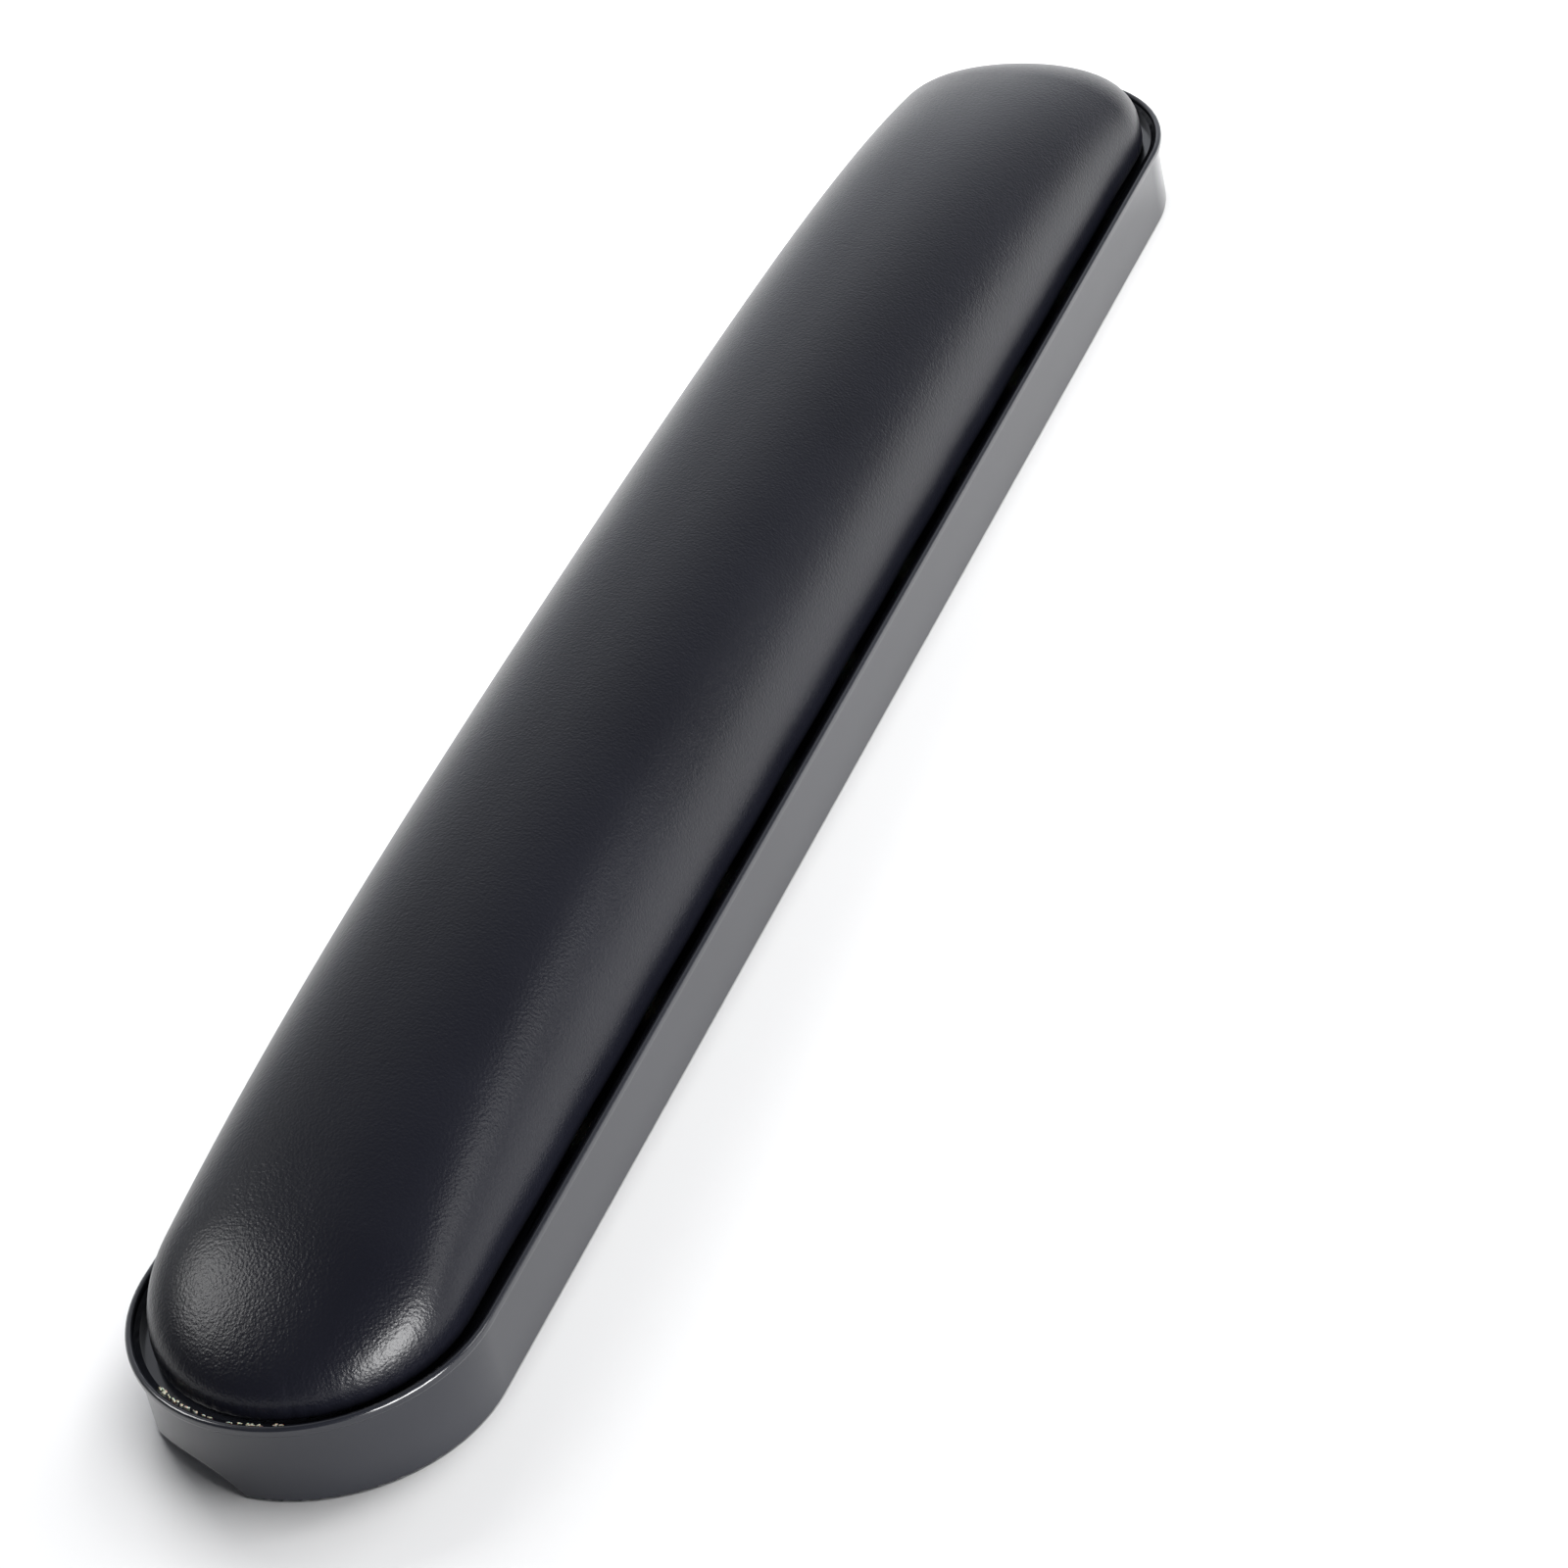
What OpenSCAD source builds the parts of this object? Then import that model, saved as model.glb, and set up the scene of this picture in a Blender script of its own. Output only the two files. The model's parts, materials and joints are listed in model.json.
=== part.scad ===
// Armrest pad for a chair: a leather cushion on a stapled board, screwed and
// glued into a black moulded tray that sits over the chair's arm tube.
// Millimetres. +X is the long way, +Z is up, and the origin is on the ground
// under the middle of the pad.

/* [Pad] */
// Overall length, over the rim bead
pad_length = 355; // [340:5:420]
// Overall width, over the rim bead
pad_width = 52; // [48:1:60]

/* [Tray] */
// Height of the skirt, up to the underside of the rim bead
skirt_height = 12.4; // [12:0.2:16]
// Thickness of the skirt wall
skirt_wall = 2.2; // [1.6:0.2:3]
// How far the skirt stands in from the rim bead
skirt_inset = 0.8; // [0.4:0.1:1]
// Thickness of the rim bead
bead_width = 1.1; // [0.8:0.1:1.4]
// Width of the ledge inside the rim bead
ledge_width = 0.8; // [0.4:0.1:1]
// Thickness of the deck that the cushion sits on
deck_thickness = 2.4; // [2:0.2:3]
// Thickness of the stiffening ribs
rib_thickness = 1.8; // [1.2:0.2:2.4]

/* [Cushion] */
// Height of the crown above the cushion's widest line, in the middle
crown_height = 27; // [18:1:32]
// Gap between the rim bead's outer edge and the cushion's side
cushion_inset = 3.4; // [3.2:0.1:5]
// Thickness of the leather
leather_thickness = 1; // [0.8:0.1:1.4]
// Width of the leather turned in under the board
hem_width = 10; // [8:1:12]
// Thickness of the plywood board
board_thickness = 3.5; // [3:0.1:3.8]

/* [Arm tube] */
// Radius of the round channel over the arm tube
channel_radius = 11.8; // [11:0.1:12.5]
// How far the channel cuts up into the tray
channel_depth = 4.6; // [3.5:0.1:5]
// Distance of the arm tube from the pad's centre line
tube_offset = 11; // [9:0.5:12]
// Distance between the two mounting screws
mount_spacing = 250; // [200:5:260]

/* [Hidden] */
$fn = 64;
cut = 1;                                   // extra length of a cutting tool

half_width = pad_width / 2;
spine = pad_length / 2 - half_width;       // half length of the straight sides
tube_y = -tube_offset;

bead_height = 1.6;
rim_top = skirt_height + 1.4;
ledge_top = rim_top - 0.9;
deck_top = skirt_height - 1;
deck_bottom = deck_top - deck_thickness;
rib_foot = 1.2;                            // ribs end above the skirt's edge
foot_round = 0.5;                          // rounding of the skirt's lower edge

skirt_radius = half_width - skirt_inset;
hollow_radius = skirt_radius - skirt_wall;
groove_radius = half_width - bead_width - ledge_width;

mount_x = mount_spacing / 2;
rib_pitch = mount_x / 4;
rib_count = 5;                             // ribs on each side of the middle one

boss_radius = 7;
screw_hole_radius = 3.3;                   // clearance for an M6 screw
thread_radius = 2.5;                       // M6 thread, at its crest
barrel_radius = 3.9;
barrel_length = 8;
flange_radius = 8.5;
flange_thickness = 1.2;
prong_circle = 7.2;
prong_size = [0.9, 2.4, 3];
slide_fit = 0.3;                           // play of the barrel in its boss

staple_wire = 0.5;
staple_width = 1.2;
staple_crown = 10;
staple_leg = 4.2;
staple_pitch = mount_x / 4.5;              // the mounts fall midway between two staples
staples_each_side = 5;                     // on each side of the middle one
staple_end_angles = [-66, -22, 22, 66];
adhesive_width = 1.9;
adhesive_setback = 1;                      // stops short of the cushion's edge

hem_bottom = deck_top + staple_wire;
board_bottom = hem_bottom + leather_thickness;
board_top = board_bottom + board_thickness;
cushion_radius = half_width - cushion_inset;
board_radius = cushion_radius - 3;         // clear of the leather where the crown is low
crown_base = board_bottom - 0.1;           // level of the cushion's widest line
tuck = 0.7;                                // how far the side pulls in below it
staple_line = cushion_radius - 5.1;        // staples' distance from the spine

tapping_x = [-4.5 * rib_pitch, -1.5 * rib_pitch, 1.5 * rib_pitch, 4.5 * rib_pitch];
tapping_y = 7;
tapping_radius = 2.1;
tapping_boss_radius = 4.6;
tapping_boss_foot = deck_bottom - 1;
tapping_length = 8;
tapping_head_radius = 4;
tapping_head_height = 2.6;
recess_size = [4.4, 1, 1.4];

// Crown of the cushion: superellipse section, and lower towards both ends
section_power = 2.37;
section_root = 2.68;
end_fall_slow = 0.25;
end_fall_fast = 0.47;
ring_levels = 11;
arc_steps = 12;
side_steps = 16;
spine_gap = 0.06;                          // share of the width left at the ridge

// ---------- shapes shared by the parts ----------

// Flat outline with straight sides and round ends
module stadium(radius) {
    square([2 * spine, 2 * radius], center = true);
    for (side = [-1, 1])
        translate([side * spine, 0])
            circle(r = radius);
}

module stadium_prism(radius, bottom, top) {
    translate([0, 0, bottom])
        linear_extrude(height = top - bottom)
            stadium(radius);
}

// Carries a profile, drawn as [distance from the spine, height], around the pad
module around_pad() {
    for (side = [0, 180])
        rotate([0, 0, side]) {
            translate([spine, 0, 0])
                rotate([0, 0, -90])
                    rotate_extrude(angle = 180)
                        children();
            translate([-spine, 0, 0])
                rotate([90, 0, 90])
                    linear_extrude(height = 2 * spine)
                        children();
        }
}

module at_mounts() {
    for (x = [-mount_x, mount_x])
        translate([x, tube_y, 0])
            children();
}

module at_tapping_screws() {
    for (x = tapping_x)
        translate([x, tapping_y, 0])
            children();
}

module at_staples() {
    for (side = [-1, 1])
        for (i = [-staples_each_side : staples_each_side])
            translate([i * staple_pitch, side * staple_line, 0])
                children();
    for (end = [0, 180])
        for (angle = staple_end_angles)
            rotate([0, 0, end])
                translate([spine, 0, 0])
                    rotate([0, 0, angle])
                        translate([staple_line, 0, 0])
                            rotate([0, 0, 90])
                                children();
}

// ---------- the cushion's crowned surface ----------

// Share of the crown height left at a distance x from the middle
function fall(x) = let (u = abs(x) / (pad_length / 2 - cushion_inset))
    1 - end_fall_slow * pow(u, 2) - end_fall_fast * pow(u, 5);

// Share of the crown height at a share r of the half width
function section(r) = pow(1 - pow(r, section_power), 1 / section_root);

// Plan points of one ring, at distance r from the spine, anticlockwise
function quarter(r, from, to, sx) = [
    for (i = [0 : arc_steps])
        let (a = from + (to - from) * i / arc_steps)
            [sx * spine + r * cos(a), r * sin(a)]
];
function side(r, sx, sy) = [
    for (i = [1 : side_steps - 1])
        [sx * spine * (1 - 2 * i / side_steps), sy * r]
];
function ring(r) = concat(
    quarter(r, 0, 90, 1), side(r, 1, 1), quarter(r, 90, 180, -1),
    [for (i = [1 : arc_steps]) quarter(r, 180, 270, -1)[i]],
    side(r, -1, -1),
    [for (i = [0 : arc_steps - 1]) quarter(r, 270, 360, 1)[i]]
);
ring_size = 4 * arc_steps + 2 * side_steps;

// Distance from the spine of each crown ring, from the side up to the ridge
function crown_share(level) =
    max(spine_gap, cos(90 * level / (ring_levels - 1)));

// The cushion's outer skin moved inwards by the amount inset, as a closed solid
module cushion_form(inset) {
    radius = cushion_radius - inset;
    foot = hem_bottom + inset;
    lower = [for (p = ring(radius - tuck)) [p[0], p[1], foot]];
    crown = [
        for (level = [0 : ring_levels - 1])
            let (share = crown_share(level), rise = section(share))
                for (p = ring(radius * share))
                    [p[0], p[1], crown_base + (crown_height - inset) * fall(p[0]) * rise]
    ];
    last = ring_levels * ring_size;
    walls = [
        for (k = [0 : ring_levels - 1])
            for (i = [0 : ring_size - 1])
                let (j = (i + 1) % ring_size, a = k * ring_size)
                    each [[a + i, a + ring_size + i, a + j],
                          [a + j, a + ring_size + i, a + ring_size + j]]
    ];
    half = ring_size / 2;
    lid = [
        for (i = [0 : half - 1])
            let (a = last + i, b = last + i + 1,
                 c = last + (ring_size - i - 1) % ring_size,
                 d = last + (ring_size - i) % ring_size)
                each concat(i == 0 ? [] : [[a, d, c]], i == half - 1 ? [] : [[a, c, b]])
    ];
    polyhedron(
        points = concat(lower, crown),
        faces = concat([[for (i = [0 : ring_size - 1]) i]], walls, lid),
        convexity = 4
    );
}

// ---------- the parts ----------

module bead_profile() {
    round = bead_width / 2;
    middle = half_width - round;
    translate([middle, rim_top - round])
        circle(r = round);
    translate([middle, rim_top - bead_height + round])
        circle(r = round);
    translate([half_width - bead_width, rim_top - bead_height + round])
        square([bead_width, bead_height - 2 * round]);
}

// Skirt with a rounded foot, and the ledge that stands up from it round the cushion
module skirt_profile() {
    translate([hollow_radius, foot_round])
        square([skirt_wall, deck_top - foot_round]);
    translate([groove_radius, deck_bottom])
        square([skirt_radius - groove_radius, ledge_top - deck_bottom]);
    translate([hollow_radius + foot_round, 0])
        square([skirt_wall - 2 * foot_round, 2 * foot_round]);
    for (x = [hollow_radius + foot_round, skirt_radius - foot_round])
        translate([x, foot_round])
            circle(r = foot_round);
}

module tray_walls() {
    around_pad() {
        skirt_profile();
        bead_profile();
    }
    stadium_prism(hollow_radius + skirt_wall / 4, deck_bottom, deck_top);
}

module ribs() {
    intersection() {
        union() {
            for (i = [-rib_count : rib_count])
                translate([i * rib_pitch - rib_thickness / 2, -half_width, rib_foot])
                    cube([rib_thickness, pad_width, deck_bottom - rib_foot + cut / 2]);
            translate([-pad_length / 2, -rib_thickness / 2, rib_foot])
                cube([pad_length, rib_thickness, deck_bottom - rib_foot + cut / 2]);
        }
        stadium_prism(hollow_radius + skirt_wall / 4, 0, deck_top - deck_thickness / 2);
    }
}

module bosses() {
    at_mounts()
        translate([0, 0, rib_foot])
            cylinder(r = boss_radius, h = board_bottom - rib_foot);
    at_tapping_screws()
        translate([0, 0, tapping_boss_foot])
            cylinder(r = tapping_boss_radius, h = board_bottom - tapping_boss_foot);
}

module boss_holes() {
    barrel_foot = board_top - barrel_length;
    at_mounts() {
        cylinder(r = screw_hole_radius, h = board_bottom + cut);
        translate([0, 0, barrel_foot - slide_fit])
            cylinder(r = barrel_radius + slide_fit, h = board_bottom - barrel_foot + cut);
    }
    at_tapping_screws()
        cylinder(r = tapping_radius, h = board_bottom + cut);
}

module arm_channel() {
    translate([-pad_length / 2 - cut, tube_y, channel_depth - channel_radius])
        rotate([0, 90, 0])
            cylinder(r = channel_radius, h = pad_length + 2 * cut);
}

module base_shell() {
    color([0.08, 0.09, 0.11])
        difference() {
            union() {
                tray_walls();
                ribs();
                bosses();
            }
            arm_channel();
            boss_holes();
        }
}

module prongs() {
    for (turn = [0 : 90 : 270])
        rotate([0, 0, turn])
            translate([prong_circle, 0, board_top - prong_size[2] / 2])
                cube(prong_size, center = true);
}

module tee_nut() {
    difference() {
        union() {
            translate([0, 0, board_top])
                cylinder(r = flange_radius, h = flange_thickness);
            translate([0, 0, board_top - barrel_length])
                cylinder(r = barrel_radius, h = barrel_length);
            prongs();
        }
        translate([0, 0, board_top - barrel_length - cut])
            cylinder(r = thread_radius, h = barrel_length + flange_thickness + 2 * cut);
    }
}

module tee_nut_front() {
    color([0.72, 0.72, 0.7])
        translate([mount_x, tube_y, 0])
            tee_nut();
}

module tee_nut_rear() {
    color([0.72, 0.72, 0.7])
        translate([-mount_x, tube_y, 0])
            tee_nut();
}

module staple_legs() {
    for (end = [-1, 1])
        translate([end * (staple_crown - staple_wire) / 2, 0, hem_bottom + staple_leg / 2])
            cube([staple_wire, staple_width, staple_leg], center = true);
}

module staples() {
    color([0.75, 0.75, 0.76])
        at_staples() {
            translate([0, 0, hem_bottom - staple_wire / 2])
                cube([staple_crown, staple_width, staple_wire], center = true);
            staple_legs();
        }
}

module backing_board() {
    color([0.72, 0.55, 0.36])
        difference() {
            stadium_prism(board_radius, board_bottom, board_top);
            at_mounts() {
                cylinder(r = barrel_radius, h = board_top + cut);
                prongs();
            }
            at_tapping_screws()
                cylinder(r = tapping_radius, h = board_top + cut);
            at_staples()
                staple_legs();
        }
}

module foam_core() {
    skin_gap = 0.1;
    screw_pocket = 6;                      // room for a long screw's end
    color([0.86, 0.82, 0.62])
        difference() {
            cushion_form(leather_thickness + skin_gap);
            stadium_prism(half_width, 0, board_top);
            at_mounts() {
                cylinder(r = flange_radius + skin_gap, h = board_top + flange_thickness);
                cylinder(r = screw_hole_radius, h = board_top + screw_pocket);
            }
        }
}

module leather_cover() {
    color([0.12, 0.12, 0.14])
        difference() {
            cushion_form(0);
            cushion_form(leather_thickness);
            stadium_prism(cushion_radius - tuck - hem_width, 0, board_bottom + cut / 2);
            at_mounts()
                cylinder(r = boss_radius + slide_fit, h = board_bottom + cut / 2);
            at_staples()
                staple_legs();
        }
}

module cushion_screw() {
    difference() {
        union() {
            translate([0, 0, tapping_boss_foot])
                cylinder(r = tapping_radius, h = tapping_length);
            translate([0, 0, tapping_boss_foot - tapping_head_height])
                cylinder(r = tapping_head_radius, h = tapping_head_height);
        }
        for (turn = [0, 90])
            rotate([0, 0, turn])
                translate([0, 0, tapping_boss_foot - tapping_head_height])
                    cube([recess_size[0], recess_size[1], 2 * recess_size[2]], center = true);
    }
}

module cushion_screws() {
    color([0.2, 0.2, 0.22])
        at_tapping_screws()
            cushion_screw();
}

// Laid on the deck under the cushion's turned-in edge, outside the staples
module adhesive_bead() {
    outer = cushion_radius - tuck - adhesive_setback;
    color([0.8, 0.77, 0.66])
        difference() {
            stadium_prism(outer, deck_top, hem_bottom);
            stadium_prism(outer - adhesive_width, deck_top - cut, hem_bottom + cut);
        }
}

base_shell();
backing_board();
foam_core();
leather_cover();
staples();
tee_nut_front();
tee_nut_rear();
cushion_screws();
adhesive_bead();
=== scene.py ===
"""Armrest pad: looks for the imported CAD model.

The board, foam, fasteners and adhesive bead are CAD nodes with procedural materials.
The tray is a copy of the CAD node with its round ends made finer. The leather cover is
built here, on the same crowned form as in CAD but a little fuller at the rear: it is
swollen by a cloth simulation and gathered round both ends.
Lengths are in metres. Camera and light angles are in degrees.
"""

import json
import math

import bmesh
import bpy
import numpy as np
from mathutils import Matrix, Vector, noise

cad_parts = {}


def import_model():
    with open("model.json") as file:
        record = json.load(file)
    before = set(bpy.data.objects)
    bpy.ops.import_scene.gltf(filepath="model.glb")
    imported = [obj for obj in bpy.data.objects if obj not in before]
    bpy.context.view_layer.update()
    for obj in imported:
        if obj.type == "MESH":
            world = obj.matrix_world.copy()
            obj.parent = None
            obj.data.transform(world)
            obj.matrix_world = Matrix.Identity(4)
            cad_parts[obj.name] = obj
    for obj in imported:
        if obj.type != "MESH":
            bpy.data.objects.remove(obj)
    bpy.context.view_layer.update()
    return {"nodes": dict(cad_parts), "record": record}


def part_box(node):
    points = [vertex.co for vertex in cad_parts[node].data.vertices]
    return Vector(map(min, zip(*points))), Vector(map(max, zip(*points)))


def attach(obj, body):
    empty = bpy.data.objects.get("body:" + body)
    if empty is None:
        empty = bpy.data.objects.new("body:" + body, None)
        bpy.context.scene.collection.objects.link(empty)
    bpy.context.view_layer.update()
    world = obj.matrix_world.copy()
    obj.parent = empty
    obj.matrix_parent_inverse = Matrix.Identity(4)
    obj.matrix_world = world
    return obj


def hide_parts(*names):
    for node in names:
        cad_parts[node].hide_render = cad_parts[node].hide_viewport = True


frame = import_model()
scene = bpy.context.scene

nodes = frame["nodes"]

MM = 0.001
TINY = 1e-6

# ---------- sizes, from the frame and as in the part's source ----------

_, TRAY_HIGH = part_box("base_shell")
COVER_LOW, COVER_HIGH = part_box("leather_cover")
BOARD_LOW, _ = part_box("backing_board")
HALF_WIDTH = TRAY_HIGH.y
SPINE = TRAY_HIGH.x - HALF_WIDTH
CUSHION_RADIUS = COVER_HIGH.y
CUSHION_HALF_LENGTH = COVER_HIGH.x
RIM_TOP = TRAY_HIGH.z
HEM_BOTTOM = COVER_LOW.z
LEATHER = 1.0 * MM
CROWN_BASE = BOARD_LOW.z - 0.1 * MM
CROWN_HEIGHT = COVER_HIGH.z - CROWN_BASE
HEM_WIDTH = 10 * MM
TUCK = 0.7 * MM
MOUNTS = {mount["name"]: mount for mount in frame["record"]["mounts"]}
STAPLES_TO_MOUNT = 4.5
STAPLE_PITCH = MOUNTS["front_thread"]["pos_m"][0] / STAPLES_TO_MOUNT
LEDGE_TOP = RIM_TOP - 0.9 * MM
BEAD_INNER = HALF_WIDTH - 1.1 * MM
GROOVE_RADIUS = BEAD_INNER - 0.8 * MM

# ---------- the cushion's form ----------

SECTION_POWER = 2.37
SECTION_ROOT = 2.68
FALL_SLOW = 0.25
FALL_FAST = 0.47
FALL_FAST_REAR = 0.42
RIDGE_SHARE = 0.012
CROWN_ROW_SHARE = 0.74
ROW_CROWDING = 0.92
CORNER_SHARE = 0.45


def fall(x):
    """Share of the crown height left at x: lower towards both ends, a little fuller at the rear."""
    u = np.abs(x) / CUSHION_HALF_LENGTH
    return 1 - FALL_SLOW * u**2 - np.where(x > 0, FALL_FAST, FALL_FAST_REAR) * u**5


def outline(arc_steps, side_steps):
    """Spine point and outward direction of each step round the pad, from the +X tip, anticlockwise."""
    quarter = np.radians(np.linspace(0, 90, arc_steps, endpoint=False))
    run = np.linspace(0, 1, side_steps, endpoint=False)
    angles = np.concatenate([
        quarter, np.full(side_steps, math.pi / 2), quarter + math.pi / 2,
        quarter + math.pi, np.full(side_steps, 1.5 * math.pi), quarter + 1.5 * math.pi,
    ])
    spine = np.concatenate([
        np.full(arc_steps, SPINE), SPINE * (1 - 2 * run), np.full(2 * arc_steps, -SPINE),
        -SPINE * (1 - 2 * run), np.full(arc_steps, SPINE),
    ])
    return spine, angles


def section(rows):
    """Half width and rise of each row, from the ridge down the crown and in under the board.

    Returns the distance from the spine, the share of the crown's height and the height below
    the crown's base, for the rows from the ridge to the hem's inner edge.
    """
    crown_rows = int(rows * CROWN_ROW_SHARE)
    hem_rows = rows - crown_rows
    sweep = np.radians(np.linspace(0, 90, crown_rows))
    share = np.maximum(RIDGE_SHARE, np.sin(sweep) ** ROW_CROWDING)
    rise = (1 - np.minimum(share, 1) ** SECTION_POWER) ** (1 / SECTION_ROOT)
    turn = np.linspace(0, 1, hem_rows + 1)[1:]
    corner = np.minimum(turn / CORNER_SHARE, 1)
    under = np.clip((turn - CORNER_SHARE) / (1 - CORNER_SHARE), 0, 1)
    drop = CROWN_BASE - HEM_BOTTOM
    hem_radius = CUSHION_RADIUS - TUCK * (1 - np.cos(corner * math.pi / 2)) - under * HEM_WIDTH
    hem_drop = drop * np.sin(corner * math.pi / 2)
    radius = np.concatenate([CUSHION_RADIUS * share, hem_radius])
    rise = np.concatenate([rise, np.zeros(hem_rows)])
    below = np.concatenate([np.zeros(crown_rows), hem_drop])
    return radius, rise, below


def cushion_grid(arc_steps, side_steps, rows):
    """Points of the cushion's surface, as rows x steps x 3."""
    spine, angles = outline(arc_steps, side_steps)
    radius, rise, below = section(rows)
    x = spine[None, :] + radius[:, None] * np.cos(angles)[None, :]
    y = radius[:, None] * np.sin(angles)[None, :]
    z = CROWN_BASE + CROWN_HEIGHT * fall(x) * rise[:, None] - below[:, None]
    return np.stack([x, y, z], axis=2)


def grid_faces(rows, steps):
    """Quads between the rows, and across the ridge from one side to the other."""
    faces = []
    for row in range(rows - 1):
        for step in range(steps):
            after = (step + 1) % steps
            faces.append((row * steps + step, (row + 1) * steps + step,
                          (row + 1) * steps + after, row * steps + after))
    for step in range(steps // 2):
        a, b = step, step + 1
        c, d = (steps - step - 1) % steps, (steps - step) % steps
        corners = [i for n, i in enumerate((a, b, c, d)) if i not in (a, b, c, d)[:n]]
        if len(corners) > 2:
            faces.append(tuple(corners))
    return faces


def mesh_object(name, points, faces):
    mesh = bpy.data.meshes.new(name)
    mesh.from_pydata([tuple(p) for p in points.reshape(-1, 3)], [], faces)
    mesh.validate()
    mesh.update()
    obj = bpy.data.objects.new(name, mesh)
    scene.collection.objects.link(obj)
    return obj


def apply_modifiers(obj):
    graph = bpy.context.evaluated_depsgraph_get()
    mesh = bpy.data.meshes.new_from_object(obj.evaluated_get(graph))
    obj.modifiers.clear()
    old = obj.data
    obj.data = mesh
    bpy.data.meshes.remove(old)


def smooth(obj):
    for polygon in obj.data.polygons:
        polygon.use_smooth = True


# ---------- cloth: how the filled leather swells ----------

SIM_ARC, SIM_SIDE, SIM_ROWS = 22, 56, 34
SIM_FRAMES = 20
SWELL_LIMIT = 1.2 * MM


def swelling():
    """Displacement of the leather under its filling, on the simulation's grid."""
    start = cushion_grid(SIM_ARC, SIM_SIDE, SIM_ROWS)
    rows, steps = start.shape[:2]
    skin = mesh_object("swelling_skin", start, grid_faces(rows, steps))
    held = skin.vertex_groups.new(name="held")
    crown_rows = int(rows * CROWN_ROW_SHARE)
    held.add(list(range(crown_rows * steps, rows * steps)), 1.0, "REPLACE")
    cloth = skin.modifiers.new("cloth", "CLOTH")
    cloth.settings.quality = 6
    cloth.settings.mass = 0.3
    cloth.settings.tension_stiffness = 60
    cloth.settings.compression_stiffness = 60
    cloth.settings.shear_stiffness = 30
    cloth.settings.bending_stiffness = 6
    cloth.settings.vertex_group_mass = "held"
    cloth.settings.use_pressure = True
    cloth.settings.uniform_pressure_force = 4
    cloth.settings.effector_weights.gravity = 0
    cloth.collision_settings.use_collision = False
    cloth.point_cache.frame_end = SIM_FRAMES
    for number in range(1, SIM_FRAMES + 1):
        scene.frame_set(number)
    graph = bpy.context.evaluated_depsgraph_get()
    result = skin.evaluated_get(graph).to_mesh()
    flat = np.zeros(len(result.vertices) * 3)
    result.vertices.foreach_get("co", flat)
    moved = flat.reshape(start.shape) - start
    scene.frame_set(1)
    bpy.data.objects.remove(skin)
    size = np.linalg.norm(moved, axis=2, keepdims=True)
    return moved * np.minimum(1, SWELL_LIMIT / np.maximum(size, 1e-9))


def resample(field, rows, arc_steps, side_steps):
    """A rows x steps x 3 field on the simulation's grid, read on a finer grid."""
    def positions(arc, side):
        parts = [np.arange(arc) / arc, 1 + np.arange(side) / side,
                 2 + np.arange(2 * arc) / arc, 4 + np.arange(side) / side, 5 + np.arange(arc) / arc]
        return np.concatenate(parts)
    coarse, fine = positions(SIM_ARC, SIM_SIDE), positions(arc_steps, side_steps)
    closed = np.concatenate([field, field[:, :1]], axis=1)
    coarse = np.append(coarse, 6.0)
    at_rows = np.linspace(0, field.shape[0] - 1, rows)
    result = np.empty((rows, len(fine), 3))
    for axis in range(3):
        wide = np.array([np.interp(fine, coarse, line) for line in closed[:, :, axis]])
        result[:, :, axis] = np.array(
            [np.interp(at_rows, np.arange(field.shape[0]), column) for column in wide.T]).T
    return result


# ---------- leather cover ----------

COVER_ARC, COVER_SIDE, COVER_ROWS = 150, 120, 84
GATHERS_EACH_END = 34
GATHER_REACH_ROUND = 88
GATHER_JITTER = 2.4
RIPPLES_EACH_END = 52
RIPPLE_DEPTH = 0.016 * MM
FADE_HALF = 4 * MM                 # the gathers set in from this far before an end to this far past it
PULL_DEPTH = 0.16 * MM
PULL_HEIGHT = 9 * MM
PULL_END = 12 * MM                 # the scallops fade out over this length before an end


def outward_normals(grid):
    along = np.roll(grid, -1, axis=1) - np.roll(grid, 1, axis=1)
    down = np.gradient(grid, axis=0)
    normal = np.cross(down, along)
    return normal / np.maximum(np.linalg.norm(normal, axis=2, keepdims=True), 1e-12)


def gathers(grid, angles):
    """Depth of the gathered wrinkles low round both ends, deepest at the tucked-in edge."""
    rng = np.random.default_rng(7)
    height = (grid[:, :, 2] - HEM_BOTTOM) / (CROWN_HEIGHT + CROWN_BASE - HEM_BOTTOM)
    beyond = np.clip((np.abs(grid[:, :, 0]) - SPINE + FADE_HALF) / (2 * FADE_HALF), 0, 1)
    depth = np.zeros(grid.shape[:2])
    for end in (0.0, math.pi):
        turn = (angles - end + math.pi) % (2 * math.pi) - math.pi
        inside = np.abs(turn) <= math.pi / 2 + TINY
        places = np.linspace(-GATHER_REACH_ROUND, GATHER_REACH_ROUND, GATHERS_EACH_END)
        places = places + rng.uniform(-GATHER_JITTER, GATHER_JITTER, GATHERS_EACH_END)
        for place in places:
            width = rng.uniform(0.40, 0.75) * MM
            deep = rng.uniform(0.03, 0.10) * MM
            reach = rng.uniform(0.16, 0.36)
            bend = rng.uniform(-0.08, 0.08)
            middle = math.radians(place) + bend * height
            across = (turn[None, :] - middle) * CUSHION_RADIUS / width
            fade = np.clip(1 - height / reach, 0, 1) ** 1.3
            depth += deep * np.exp(-across**2) * fade * inside[None, :]
        phase = rng.uniform(0, 2 * math.pi)
        slow = 0.55 + 0.45 * np.sin(3.1 * turn + phase)
        wander = 2.4 * np.sin(5 * turn + phase) + 1.3 * np.sin(13 * turn)
        ripple = np.sin(RIPPLES_EACH_END * turn + wander)[None, :]
        fade = np.clip(1 - height / 0.5, 0, 1) ** 1.5 * np.clip(height / 0.08, 0, 1)
        depth += RIPPLE_DEPTH * ripple * slow[None, :] * fade * inside[None, :]
    return depth * beyond


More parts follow.
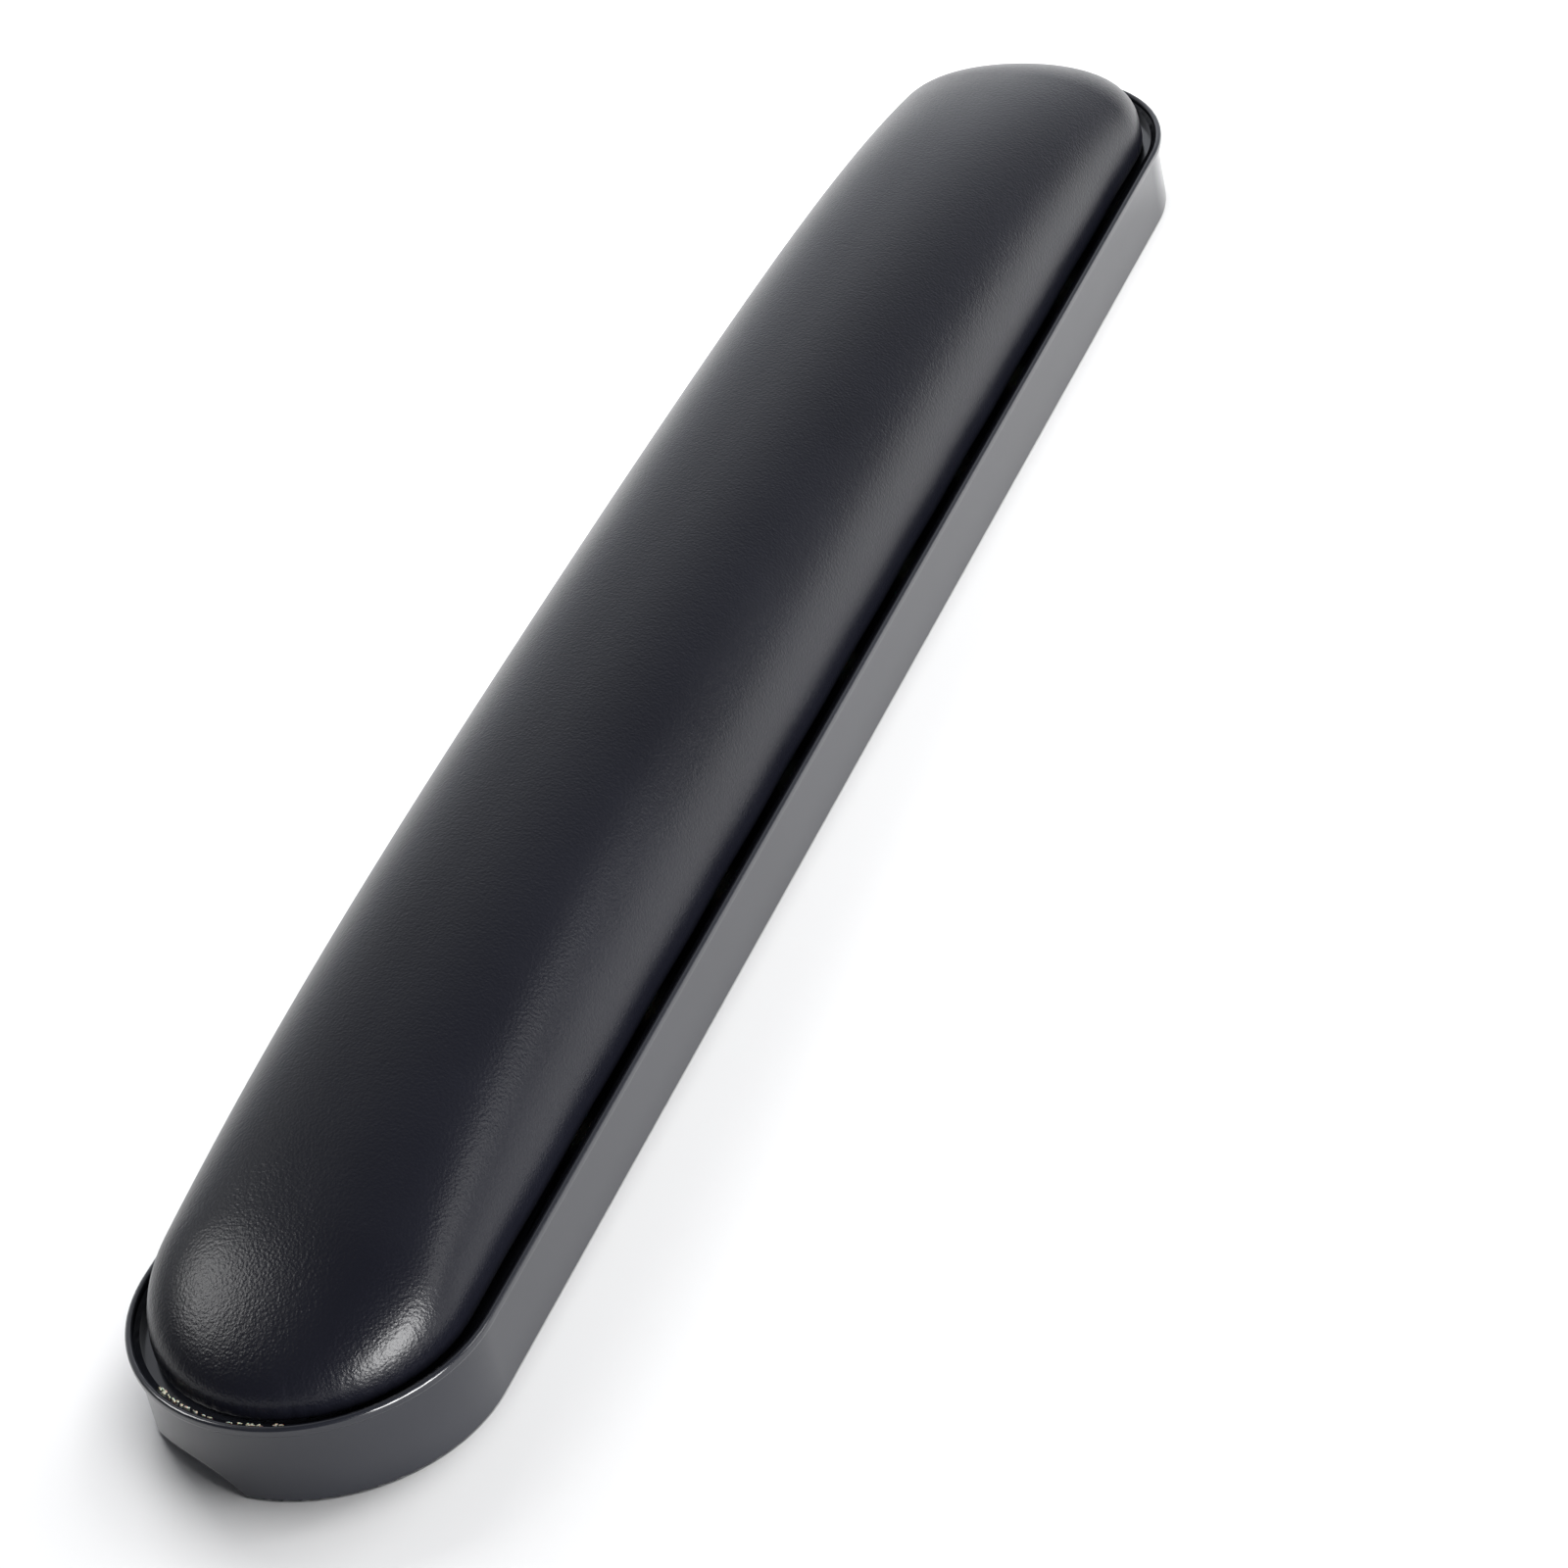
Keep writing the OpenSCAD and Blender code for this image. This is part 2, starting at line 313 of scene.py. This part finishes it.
def pulls(grid):
    """Slight scallops along the straight sides, where each staple pulls the leather in."""
    height = np.clip((grid[:, :, 2] - HEM_BOTTOM) / PULL_HEIGHT, 0, 1)
    wave = 0.5 + 0.5 * np.cos(2 * math.pi * grid[:, :, 0] / STAPLE_PITCH)
    straight = np.clip((SPINE - np.abs(grid[:, :, 0])) / PULL_END, 0, 1)
    return PULL_DEPTH * wave * (1 - height) ** 1.5 * straight


def leather_cover():
    angles = outline(COVER_ARC, COVER_SIDE)[1]
    grid = cushion_grid(COVER_ARC, COVER_SIDE, COVER_ROWS)
    rows, steps = grid.shape[:2]
    grid = grid + resample(swelling(), rows, COVER_ARC, COVER_SIDE)
    depth = gathers(grid, angles) + pulls(grid)
    grid = grid - outward_normals(grid) * depth[:, :, None]
    cover = mesh_object("leather_skin", grid, grid_faces(rows, steps))
    shell = cover.modifiers.new("thickness", "SOLIDIFY")
    shell.thickness = LEATHER
    shell.offset = -1
    apply_modifiers(cover)
    smooth(cover)
    return cover


# ---------- tray, with its round ends made finer ----------

FINE_TURN = math.radians(2)
WIDEST_CHORD = math.radians(60)
SAME_RADIUS = 0.7 * MM
WALL_FACING = 0.85                 # least cosine to the cylinder's normal, of a face beside a chord
SQUARE_ON = 0.98                   # the same, of a face that is given the cylinder's normal
UPRIGHT = 0.05                     # most that such a face may look up or down
SHARP = math.radians(32)


def turn_between(a, b):
    """Angle that an edge spans about the centre of the end it belongs to, or 0 elsewhere."""
    if min(abs(a.co.x), abs(b.co.x)) < SPINE - TINY or a.co.x * b.co.x < 0:
        return 0.0
    centre = math.copysign(SPINE, a.co.x)
    first = math.atan2(a.co.y, (a.co.x - centre) * math.copysign(1, centre))
    second = math.atan2(b.co.y, (b.co.x - centre) * math.copysign(1, centre))
    return abs(first - second)


def from_end(co):
    """Distance of a point from the axis of its nearer end."""
    return math.hypot(abs(co.x) - SPINE, co.y)


def on_wall(edge):
    """Whether a face beside an edge looks straight out from, or in to, the axis of an end."""
    middle = (edge.verts[0].co + edge.verts[1].co) / 2
    out = Vector((middle.x - math.copysign(SPINE, middle.x), middle.y, 0)).normalized()
    return any(abs(face.normal.dot(out)) > WALL_FACING for face in edge.link_faces)


def round_out(form):
    """Halves each chord round the ends and moves its middle out onto the arc; False when done."""
    form.normal_update()
    chords = [e for e in form.edges
              if FINE_TURN < turn_between(*e.verts) < WIDEST_CHORD
              and from_end(e.verts[0].co) > HALF_WIDTH / 2
              and abs(from_end(e.verts[0].co) - from_end(e.verts[1].co)) < SAME_RADIUS
              and on_wall(e)]
    if not chords:
        return False
    radius = form.verts.layers.float["radius"]
    for vert in form.verts:
        vert[radius] = from_end(vert.co)
    made = bmesh.ops.subdivide_edges(form, edges=chords, cuts=1)["geom_inner"]
    for vert in (item for item in made if isinstance(item, bmesh.types.BMVert)):
        grow = vert[radius] / from_end(vert.co)
        centre = math.copysign(SPINE, vert.co.x)
        vert.co.x = centre + (vert.co.x - centre) * grow
        vert.co.y *= grow
    bmesh.ops.triangulate(form, faces=form.faces)
    return True


def straighten_walls(mesh):
    """Gives the upright walls round the ends the normals of true cylinders."""
    normals = [corner.vector.copy() for corner in mesh.corner_normals]
    for face in mesh.polygons:
        if abs(face.normal.z) > UPRIGHT:
            continue
        for index in face.loop_indices:
            co = mesh.vertices[mesh.loops[index].vertex_index].co
            out = Vector((co.x - math.copysign(SPINE, co.x), co.y, 0)).normalized()
            facing_out = face.normal.dot(out)
            if abs(co.x) > SPINE - TINY and abs(facing_out) > SQUARE_ON:
                normals[index] = out * math.copysign(1, facing_out)
    mesh.normals_split_custom_set(normals)


def tray_moulding():
    form = bmesh.new()
    form.from_mesh(nodes["base_shell"].data)
    bmesh.ops.remove_doubles(form, verts=form.verts, dist=TINY)
    radius = form.verts.layers.float.new("radius")
    while round_out(form):
        pass
    form.verts.layers.float.remove(radius)
    mesh = bpy.data.meshes.new("tray_moulding")
    form.to_mesh(mesh)
    form.free()
    obj = bpy.data.objects.new("tray_moulding", mesh)
    scene.collection.objects.link(obj)
    smooth(obj)
    mesh.set_sharp_from_angle(angle=SHARP)
    even = obj.modifiers.new("even_walls", "WEIGHTED_NORMAL")
    even.mode = "FACE_AREA_WITH_ANGLE"
    even.weight = 60
    even.keep_sharp = True
    apply_modifiers(obj)
    straighten_walls(obj.data)
    return obj


# ---------- adhesive squeezed out on the ledge ----------

FLECKS = 38
FLECK_FROM, FLECK_TO = -36, 15     # degrees round the front end


def adhesive_flecks():
    """Small ragged lumps along the ledge round the front end."""
    rng = np.random.default_rng(23)
    form = bmesh.new()
    for _ in range(FLECKS):
        angle = math.radians(rng.uniform(FLECK_FROM, FLECK_TO))
        middle = GROOVE_RADIUS + rng.uniform(-0.10, 0.30) * MM
        size = Vector((rng.uniform(0.06, 0.20), rng.uniform(0.10, 0.45), rng.uniform(0.06, 0.18))) * MM
        lump = bmesh.ops.create_icosphere(form, subdivisions=2, radius=1)["verts"]
        turn = Matrix.Rotation(angle + rng.uniform(-0.3, 0.3), 3, "Z")
        place = Vector((SPINE + middle * math.cos(angle), middle * math.sin(angle), LEDGE_TOP))
        for vert in lump:
            ragged = 1 + 0.35 * noise.noise(vert.co * 1.7 + place / MM)
            vert.co = place + turn @ (vert.co * size * ragged)
    mesh = bpy.data.meshes.new("adhesive_flecks")
    form.to_mesh(mesh)
    form.free()
    obj = bpy.data.objects.new("adhesive_flecks", mesh)
    scene.collection.objects.link(obj)
    smooth(obj)
    return obj


# ---------- materials ----------

class Nodes:
    """A short way to write a procedural material on one Principled shader."""

    def __init__(self, name):
        self.material = bpy.data.materials.new(name)
        self.material.use_nodes = True
        self.tree = self.material.node_tree
        self.tree.nodes.clear()
        self.output = self.add("ShaderNodeOutputMaterial")
        self.shader = self.add("ShaderNodeBsdfPrincipled")
        self.link(self.shader.outputs["BSDF"], self.output.inputs["Surface"])
        self.place = self.add("ShaderNodeTexCoord").outputs["Object"]

    def add(self, kind, **settings):
        node = self.tree.nodes.new(kind)
        for key, value in settings.items():
            setattr(node, key, value)
        return node

    def link(self, source, target):
        self.tree.links.new(source, target)

    def set(self, **values):
        for key, value in values.items():
            self.shader.inputs[key.replace("_", " ")].default_value = value

    def stretched(self, scale):
        node = self.add("ShaderNodeMapping")
        node.inputs["Scale"].default_value = scale
        self.link(self.place, node.inputs["Vector"])
        return node.outputs["Vector"]

    def combined(self, first, second):
        node = self.add("ShaderNodeCombineXYZ")
        self.link(first, node.inputs["X"])
        self.link(second, node.inputs["Y"])
        return node.outputs["Vector"]

    def axes(self):
        node = self.add("ShaderNodeSeparateXYZ")
        self.link(self.place, node.inputs["Vector"])
        return node.outputs

    def past_spine(self):
        """Distance along the pad past the centre of its nearer end, below 0 on the straight sides."""
        return self.math("SUBTRACT", self.math("ABSOLUTE", self.axes()["X"], 0), SPINE)

    def round_ends(self, inner, outer):
        """From 0 on the straight part and at an end's centre to 1 further out round the end."""
        past, across = self.past_spine(), self.axes()["Y"]
        square = self.math("ADD", self.math("MULTIPLY", past, past), self.math("MULTIPLY", across, across))
        far = self.span(self.math("SQRT", square, 0), inner, outer)
        return self.math("MULTIPLY", far, self.span(past, -6 * MM, 6 * MM))

    def around_ends(self, across, along):
        """Coordinates round each end, one unit to every across mm, and up the side, one to along mm."""
        axes = self.axes()
        turn = self.math("ARCTAN2", axes["Y"], self.past_spine())
        return self.combined(self.math("MULTIPLY", turn, CUSHION_RADIUS / across),
                             self.math("MULTIPLY", axes["Z"], 1 / along))

    def wandering(self, amount, scale):
        """The place, shifted a little by a noise, so that a pattern isn't regular."""
        shift = self.add("ShaderNodeTexNoise")
        shift.inputs["Scale"].default_value = scale
        self.link(self.place, shift.inputs["Vector"])
        moved = self.add("ShaderNodeVectorMath", operation="MULTIPLY_ADD")
        self.link(shift.outputs["Color"], moved.inputs[0])
        moved.inputs[1].default_value = (amount, amount, amount)
        self.link(self.place, moved.inputs[2])
        return moved.outputs["Vector"]

    def noise(self, scale, detail, roughness, vector=None, distortion=0.0):
        node = self.add("ShaderNodeTexNoise")
        node.inputs["Scale"].default_value = scale
        node.inputs["Detail"].default_value = detail
        node.inputs["Roughness"].default_value = roughness
        node.inputs["Distortion"].default_value = distortion
        self.link(vector or self.place, node.inputs["Vector"])
        return node.outputs["Fac"]

    def cells(self, scale, feature="F1", vector=None):
        node = self.add("ShaderNodeTexVoronoi", feature=feature)
        node.inputs["Scale"].default_value = scale
        self.link(vector or self.place, node.inputs["Vector"])
        return node.outputs["Distance"]

    def ramp(self, value, stops):
        node = self.add("ShaderNodeValToRGB")
        elements = node.color_ramp.elements
        while len(elements) < len(stops):
            elements.new(0.5)
        for element, (position, colour) in zip(elements, stops):
            element.position = position
            element.color = (*colour, 1)
        self.link(value, node.inputs["Fac"])
        return node.outputs["Color"]

    def span(self, value, low, high, out_low=0.0, out_high=1.0):
        node = self.add("ShaderNodeMapRange")
        for key, number in (("From Min", low), ("From Max", high),
                            ("To Min", out_low), ("To Max", out_high)):
            node.inputs[key].default_value = number
        self.link(value, node.inputs["Value"])
        return node.outputs["Result"]

    def mix(self, factor, first, second):
        node = self.add("ShaderNodeMix", data_type="RGBA")
        for key, value in (("Factor", factor), ("A", first), ("B", second)):
            sockets = [s for s in node.inputs if s.name == key and s.enabled]
            if isinstance(value, tuple):
                sockets[0].default_value = (*value, 1)
            else:
                self.link(value, sockets[0])
        return [s for s in node.outputs if s.enabled][0]

    def math(self, operation, first, second):
        node = self.add("ShaderNodeMath", operation=operation)
        for index, value in enumerate((first, second)):
            if isinstance(value, (int, float)):
                node.inputs[index].default_value = value
            else:
                self.link(value, node.inputs[index])
        return node.outputs["Value"]

    def bump(self, height, distance, strength, under=None):
        node = self.add("ShaderNodeBump")
        node.inputs["Distance"].default_value = distance
        node.inputs["Strength"].default_value = strength
        self.link(height, node.inputs["Height"])
        if under is not None:
            self.link(under, node.inputs["Normal"])
        return node.outputs["Normal"]

    def colour(self, socket):
        self.link(socket, self.shader.inputs["Base Color"])

    def roughness(self, socket):
        self.link(socket, self.shader.inputs["Roughness"])

    def normal(self, socket):
        self.link(socket, self.shader.inputs["Normal"])


def leather_material():
    """Black PU leather: fine pebbles, short creases across the pad and pleats round its ends."""
    m = Nodes("pu_leather")
    pebbles = m.cells(2500, "SMOOTH_F1", vector=m.wandering(0.25 * MM, 800))
    pores = m.noise(4400, 2, 0.5)
    grain = m.math("ADD", m.math("MULTIPLY", pebbles, -1.0), m.math("MULTIPLY", pores, 0.6))
    creases = m.noise(1, 3, 0.65, vector=m.stretched((2200, 560, 560)), distortion=0.6)
    pleats = m.noise(1, 2, 0.6, vector=m.around_ends(0.5 * MM, 3.5 * MM), distortion=0.3)
    lines = m.mix(m.round_ends(15 * MM, 21 * MM), creases, pleats)
    cloudy = m.noise(26, 4, 0.55)
    m.colour(m.ramp(cloudy, [(0.3, (0.0034, 0.0036, 0.0062)), (0.72, (0.0048, 0.0051, 0.0084))]))
    m.roughness(m.span(m.math("ADD", m.math("MULTIPLY", cloudy, 0.7), m.math("MULTIPLY", pebbles, 0.4)),
                       0.2, 0.9, 0.27, 0.37))
    folds = m.bump(lines, 0.05 * MM, 0.5)
    m.normal(m.bump(grain, 0.06 * MM, 0.8, under=folds))
    m.set(Specular_IOR_Level=0.3)
    return m.material


def shell_material():
    """Black moulded ABS: semi-gloss, with a faint ripple, flow marks and small scuffs."""
    m = Nodes("moulded_abs")
    ripple = m.noise(90, 2, 0.4)
    skin = m.noise(2600, 2, 0.5)
    flow = m.noise(34, 4, 0.55)
    scuffs = m.noise(1, 4, 0.7, vector=m.stretched((260, 260, 1300)))
    m.colour(m.ramp(flow, [(0.3, (0.0085, 0.0092, 0.0125)), (0.75, (0.0125, 0.0134, 0.0175))]))
    m.roughness(m.span(m.math("ADD", m.math("MULTIPLY", flow, 0.6), m.math("MULTIPLY", scuffs, 0.4)),
                       0.3, 0.75, 0.17, 0.27))
    waves = m.bump(ripple, 0.05 * MM, 0.5)
    m.normal(m.bump(skin, 0.008 * MM, 0.5, under=waves))
    m.set(Specular_IOR_Level=0.55, Coat_Weight=0.3, Coat_Roughness=0.12)
    return m.material


def plywood_material():
    m = Nodes("poplar_plywood")
    grain = m.noise(1, 5, 0.6, vector=m.stretched((30, 420, 420)), distortion=0.6)
    plies = m.add("ShaderNodeTexWave", wave_type="BANDS", bands_direction="Z")
    plies.inputs["Scale"].default_value = 210
    plies.inputs["Distortion"].default_value = 0.3
    m.link(m.place, plies.inputs["Vector"])
    face = m.ramp(grain, [(0.3, (0.36, 0.235, 0.125)), (0.7, (0.58, 0.42, 0.25))])
    m.colour(m.mix(m.math("MULTIPLY", plies.outputs["Fac"], 0.35), face, (0.30, 0.19, 0.10)))
    m.roughness(m.span(grain, 0.2, 0.8, 0.62, 0.8))
    m.normal(m.bump(grain, 0.08 * MM, 0.6))
    return m.material


def foam_material():
    m = Nodes("open_cell_foam")
    cells = m.cells(1500)
    m.colour(m.ramp(cells, [(0.1, (0.42, 0.36, 0.20)), (0.6, (0.80, 0.74, 0.50))]))
    m.roughness(m.span(cells, 0, 1, 0.85, 0.95))
    m.normal(m.bump(cells, 0.35 * MM, 0.9))
    return m.material


def plated_steel_material(name, dark, light, rough):
    """Zinc-plated steel, slightly cloudy, with fine scratches."""
    m = Nodes(name)
    cloudy = m.noise(240, 4, 0.6)
    scratches = m.noise(1, 2, 0.5, vector=m.stretched((600, 5200, 3600)))
    m.colour(m.ramp(cloudy, [(0.3, dark), (0.75, light)]))
    m.roughness(m.span(cloudy, 0.2, 0.8, rough, rough + 0.16))
    m.normal(m.bump(scratches, 0.02 * MM, 0.5))
    m.set(Metallic=1.0)
    return m.material


def adhesive_material():
    m = Nodes("cured_adhesive")
    cloudy = m.noise(700, 4, 0.6)
    m.colour(m.ramp(cloudy, [(0.3, (0.32, 0.29, 0.21)), (0.7, (0.62, 0.59, 0.48))]))
    m.roughness(m.span(cloudy, 0.2, 0.8, 0.35, 0.6))
    m.normal(m.bump(m.noise(2400, 3, 0.6), 0.1 * MM, 0.6))
    m.set(Subsurface_Weight=0.3, Subsurface_Scale=0.4 * MM)
    return m.material


def floor_material():
    m = Nodes("studio_floor")
    cloudy = m.noise(3, 3, 0.5)
    m.colour(m.ramp(cloudy, [(0.3, (0.80, 0.80, 0.80)), (0.7, (0.83, 0.83, 0.83))]))
    m.roughness(m.span(cloudy, 0.2, 0.8, 0.75, 0.85))
    return m.material


def give(obj, material):
    obj.data.materials.clear()
    obj.data.materials.append(material)


# ---------- stage, light and camera ----------

CAMERA_AZIMUTH = 117.2
CAMERA_ELEVATION = 35.06
CAMERA_ROLL = -12.0
CAMERA_DISTANCE = 0.734
CAMERA_LENS = 115.35
AIM = Vector((0.0423, 0.0284, 0.0200))
BACK_AZIMUTH = CAMERA_AZIMUTH + 180
BACKDROP = 0.92                    # brightness that the camera sees behind the floor
GLOW_POWER, GLOW, GLOW_ALL_ROUND = 2.2, 1.12, 0.05
STUDIO_TINT = (0.95, 0.98, 1.06)
FLOOR_HALF = 6


def direction(azimuth, elevation):
    """Unit vector from the pad towards a place in the studio."""
    a, e = math.radians(azimuth), math.radians(elevation)
    return Vector((math.sin(a) * math.cos(e), -math.cos(a) * math.cos(e), math.sin(e)))


def facing(back, roll=0.0):
    """Rotation that looks against the direction back, turned by roll about the line of sight."""
    turn = back.to_track_quat("Z", "Y").to_matrix()
    return (turn @ Matrix.Rotation(math.radians(roll), 3, "Z")).to_4x4()


def camera():
    data = bpy.data.cameras.new("photo_camera")
    data.lens = CAMERA_LENS
    data.sensor_width = 36
    obj = bpy.data.objects.new("photo_camera", data)
    back = direction(CAMERA_AZIMUTH, CAMERA_ELEVATION)
    obj.matrix_world = Matrix.Translation(AIM + back * CAMERA_DISTANCE) @ facing(back, CAMERA_ROLL)
    scene.collection.objects.link(obj)
    scene.camera = obj


def softbox(name, azimuth, elevation, distance, size, power, aim=(0, 0, 0), spread=180):
    data = bpy.data.lights.new(name, "AREA")
    data.shape = "RECTANGLE"
    data.size, data.size_y = size
    data.energy = power
    data.spread = math.radians(spread)
    obj = bpy.data.objects.new(name, data)
    towards = direction(azimuth, elevation)
    obj.matrix_world = Matrix.Translation(Vector(aim) + towards * distance) @ facing(towards)
    obj.visible_camera = False
    scene.collection.objects.link(obj)
    return obj


def lights():
    """Three soft lights for the pad, and three for the floor, so that it is white round a dark pad."""
    floor = bpy.data.objects["floor"]
    for light in (softbox("key", 151, 14, 1.1, (0.75, 0.6), 33),
                  softbox("right_fill", 202, 22, 1.2, (0.42, 0.5), 2.4),
                  softbox("left_fill", 17, 43, 1.2, (0.42, 0.42), 6)):
        link_light(light, floor, "EXCLUDE")
    for light in (softbox("floor_wash", 190, 76, 1.5, (1.2, 1.2), 18),
                  softbox("right_wash", 225, 60, 0.5, (0.4, 0.3), 1.8, (-0.12, 0.06, 0)),
                  softbox("left_wash", 315, 60, 0.7, (0.5, 0.4), 2.5, (-0.30, -0.30, 0), 90)):
        link_light(light, floor, "INCLUDE")


def link_light(light, obj, state):
    """Makes a light shine on everything but the object, or on nothing else."""
    group = bpy.data.collections.new(light.name + "_receivers")
    group.objects.link(obj)
    group.collection_objects[0].light_linking.link_state = state
    light.light_linking.receiver_collection = group


def world():
    """Studio walls: bright behind the object and dark on the camera's side, but plain to the camera."""
    data = bpy.data.worlds.new("studio")
    scene.world = data
    data.use_nodes = True
    tree = data.node_tree
    tree.nodes.clear()

    def math_node(operation, first, second):
        node = tree.nodes.new("ShaderNodeMath")
        node.operation = operation
        tree.links.new(first, node.inputs[0])
        node.inputs[1].default_value = second
        return node.outputs["Value"]

    place = tree.nodes.new("ShaderNodeTexCoord")
    away = tree.nodes.new("ShaderNodeVectorMath")
    away.operation = "DOT_PRODUCT"
    away.inputs[1].default_value = direction(BACK_AZIMUTH, 0)
    span = tree.nodes.new("ShaderNodeMapRange")
    span.inputs["From Min"].default_value = -0.2
    rays = tree.nodes.new("ShaderNodeLightPath")
    pick = tree.nodes.new("ShaderNodeMix")
    pick.data_type = "FLOAT"
    pick.inputs["B"].default_value = BACKDROP
    back = tree.nodes.new("ShaderNodeBackground")
    back.inputs["Color"].default_value = (*STUDIO_TINT, 1)
    output = tree.nodes.new("ShaderNodeOutputWorld")
    tree.links.new(place.outputs["Generated"], away.inputs[0])
    tree.links.new(away.outputs["Value"], span.inputs["Value"])
    glow = math_node("POWER", span.outputs["Result"], GLOW_POWER)
    glow = math_node("MULTIPLY", glow, GLOW)
    glow = math_node("ADD", glow, GLOW_ALL_ROUND)
    tree.links.new(rays.outputs["Is Camera Ray"], pick.inputs["Factor"])
    tree.links.new(glow, pick.inputs["A"])
    tree.links.new(pick.outputs["Result"], back.inputs["Strength"])
    tree.links.new(back.outputs["Background"], output.inputs["Surface"])


def floor():
    mesh = bpy.data.meshes.new("floor")
    form = bmesh.new()
    bmesh.ops.create_grid(form, x_segments=1, y_segments=1, size=FLOOR_HALF)
    form.to_mesh(mesh)
    form.free()
    obj = bpy.data.objects.new("floor", mesh)
    scene.collection.objects.link(obj)
    give(obj, floor_material())


# ---------- putting it together ----------

scene.view_settings.view_transform = "Standard"
camera()
world()
floor()
lights()

tray = tray_moulding()
give(tray, shell_material())
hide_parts("base_shell")
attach(tray, "root")

give(nodes["backing_board"], plywood_material())
give(nodes["foam_core"], foam_material())
adhesive = adhesive_material()
give(nodes["adhesive_bead"], adhesive)
nut_steel = plated_steel_material("nut_zinc", (0.46, 0.44, 0.38), (0.66, 0.64, 0.58), 0.28)
give(nodes["tee_nut_front"], nut_steel)
give(nodes["tee_nut_rear"], nut_steel)
give(nodes["staples"], plated_steel_material("staple_zinc", (0.5, 0.5, 0.52), (0.68, 0.68, 0.7), 0.3))
give(nodes["cushion_screws"],
     plated_steel_material("black_zinc", (0.05, 0.05, 0.055), (0.12, 0.12, 0.13), 0.3))

cover = leather_cover()
give(cover, leather_material())
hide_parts("leather_cover")
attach(cover, "root")

flecks = adhesive_flecks()
give(flecks, adhesive)
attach(flecks, "root")
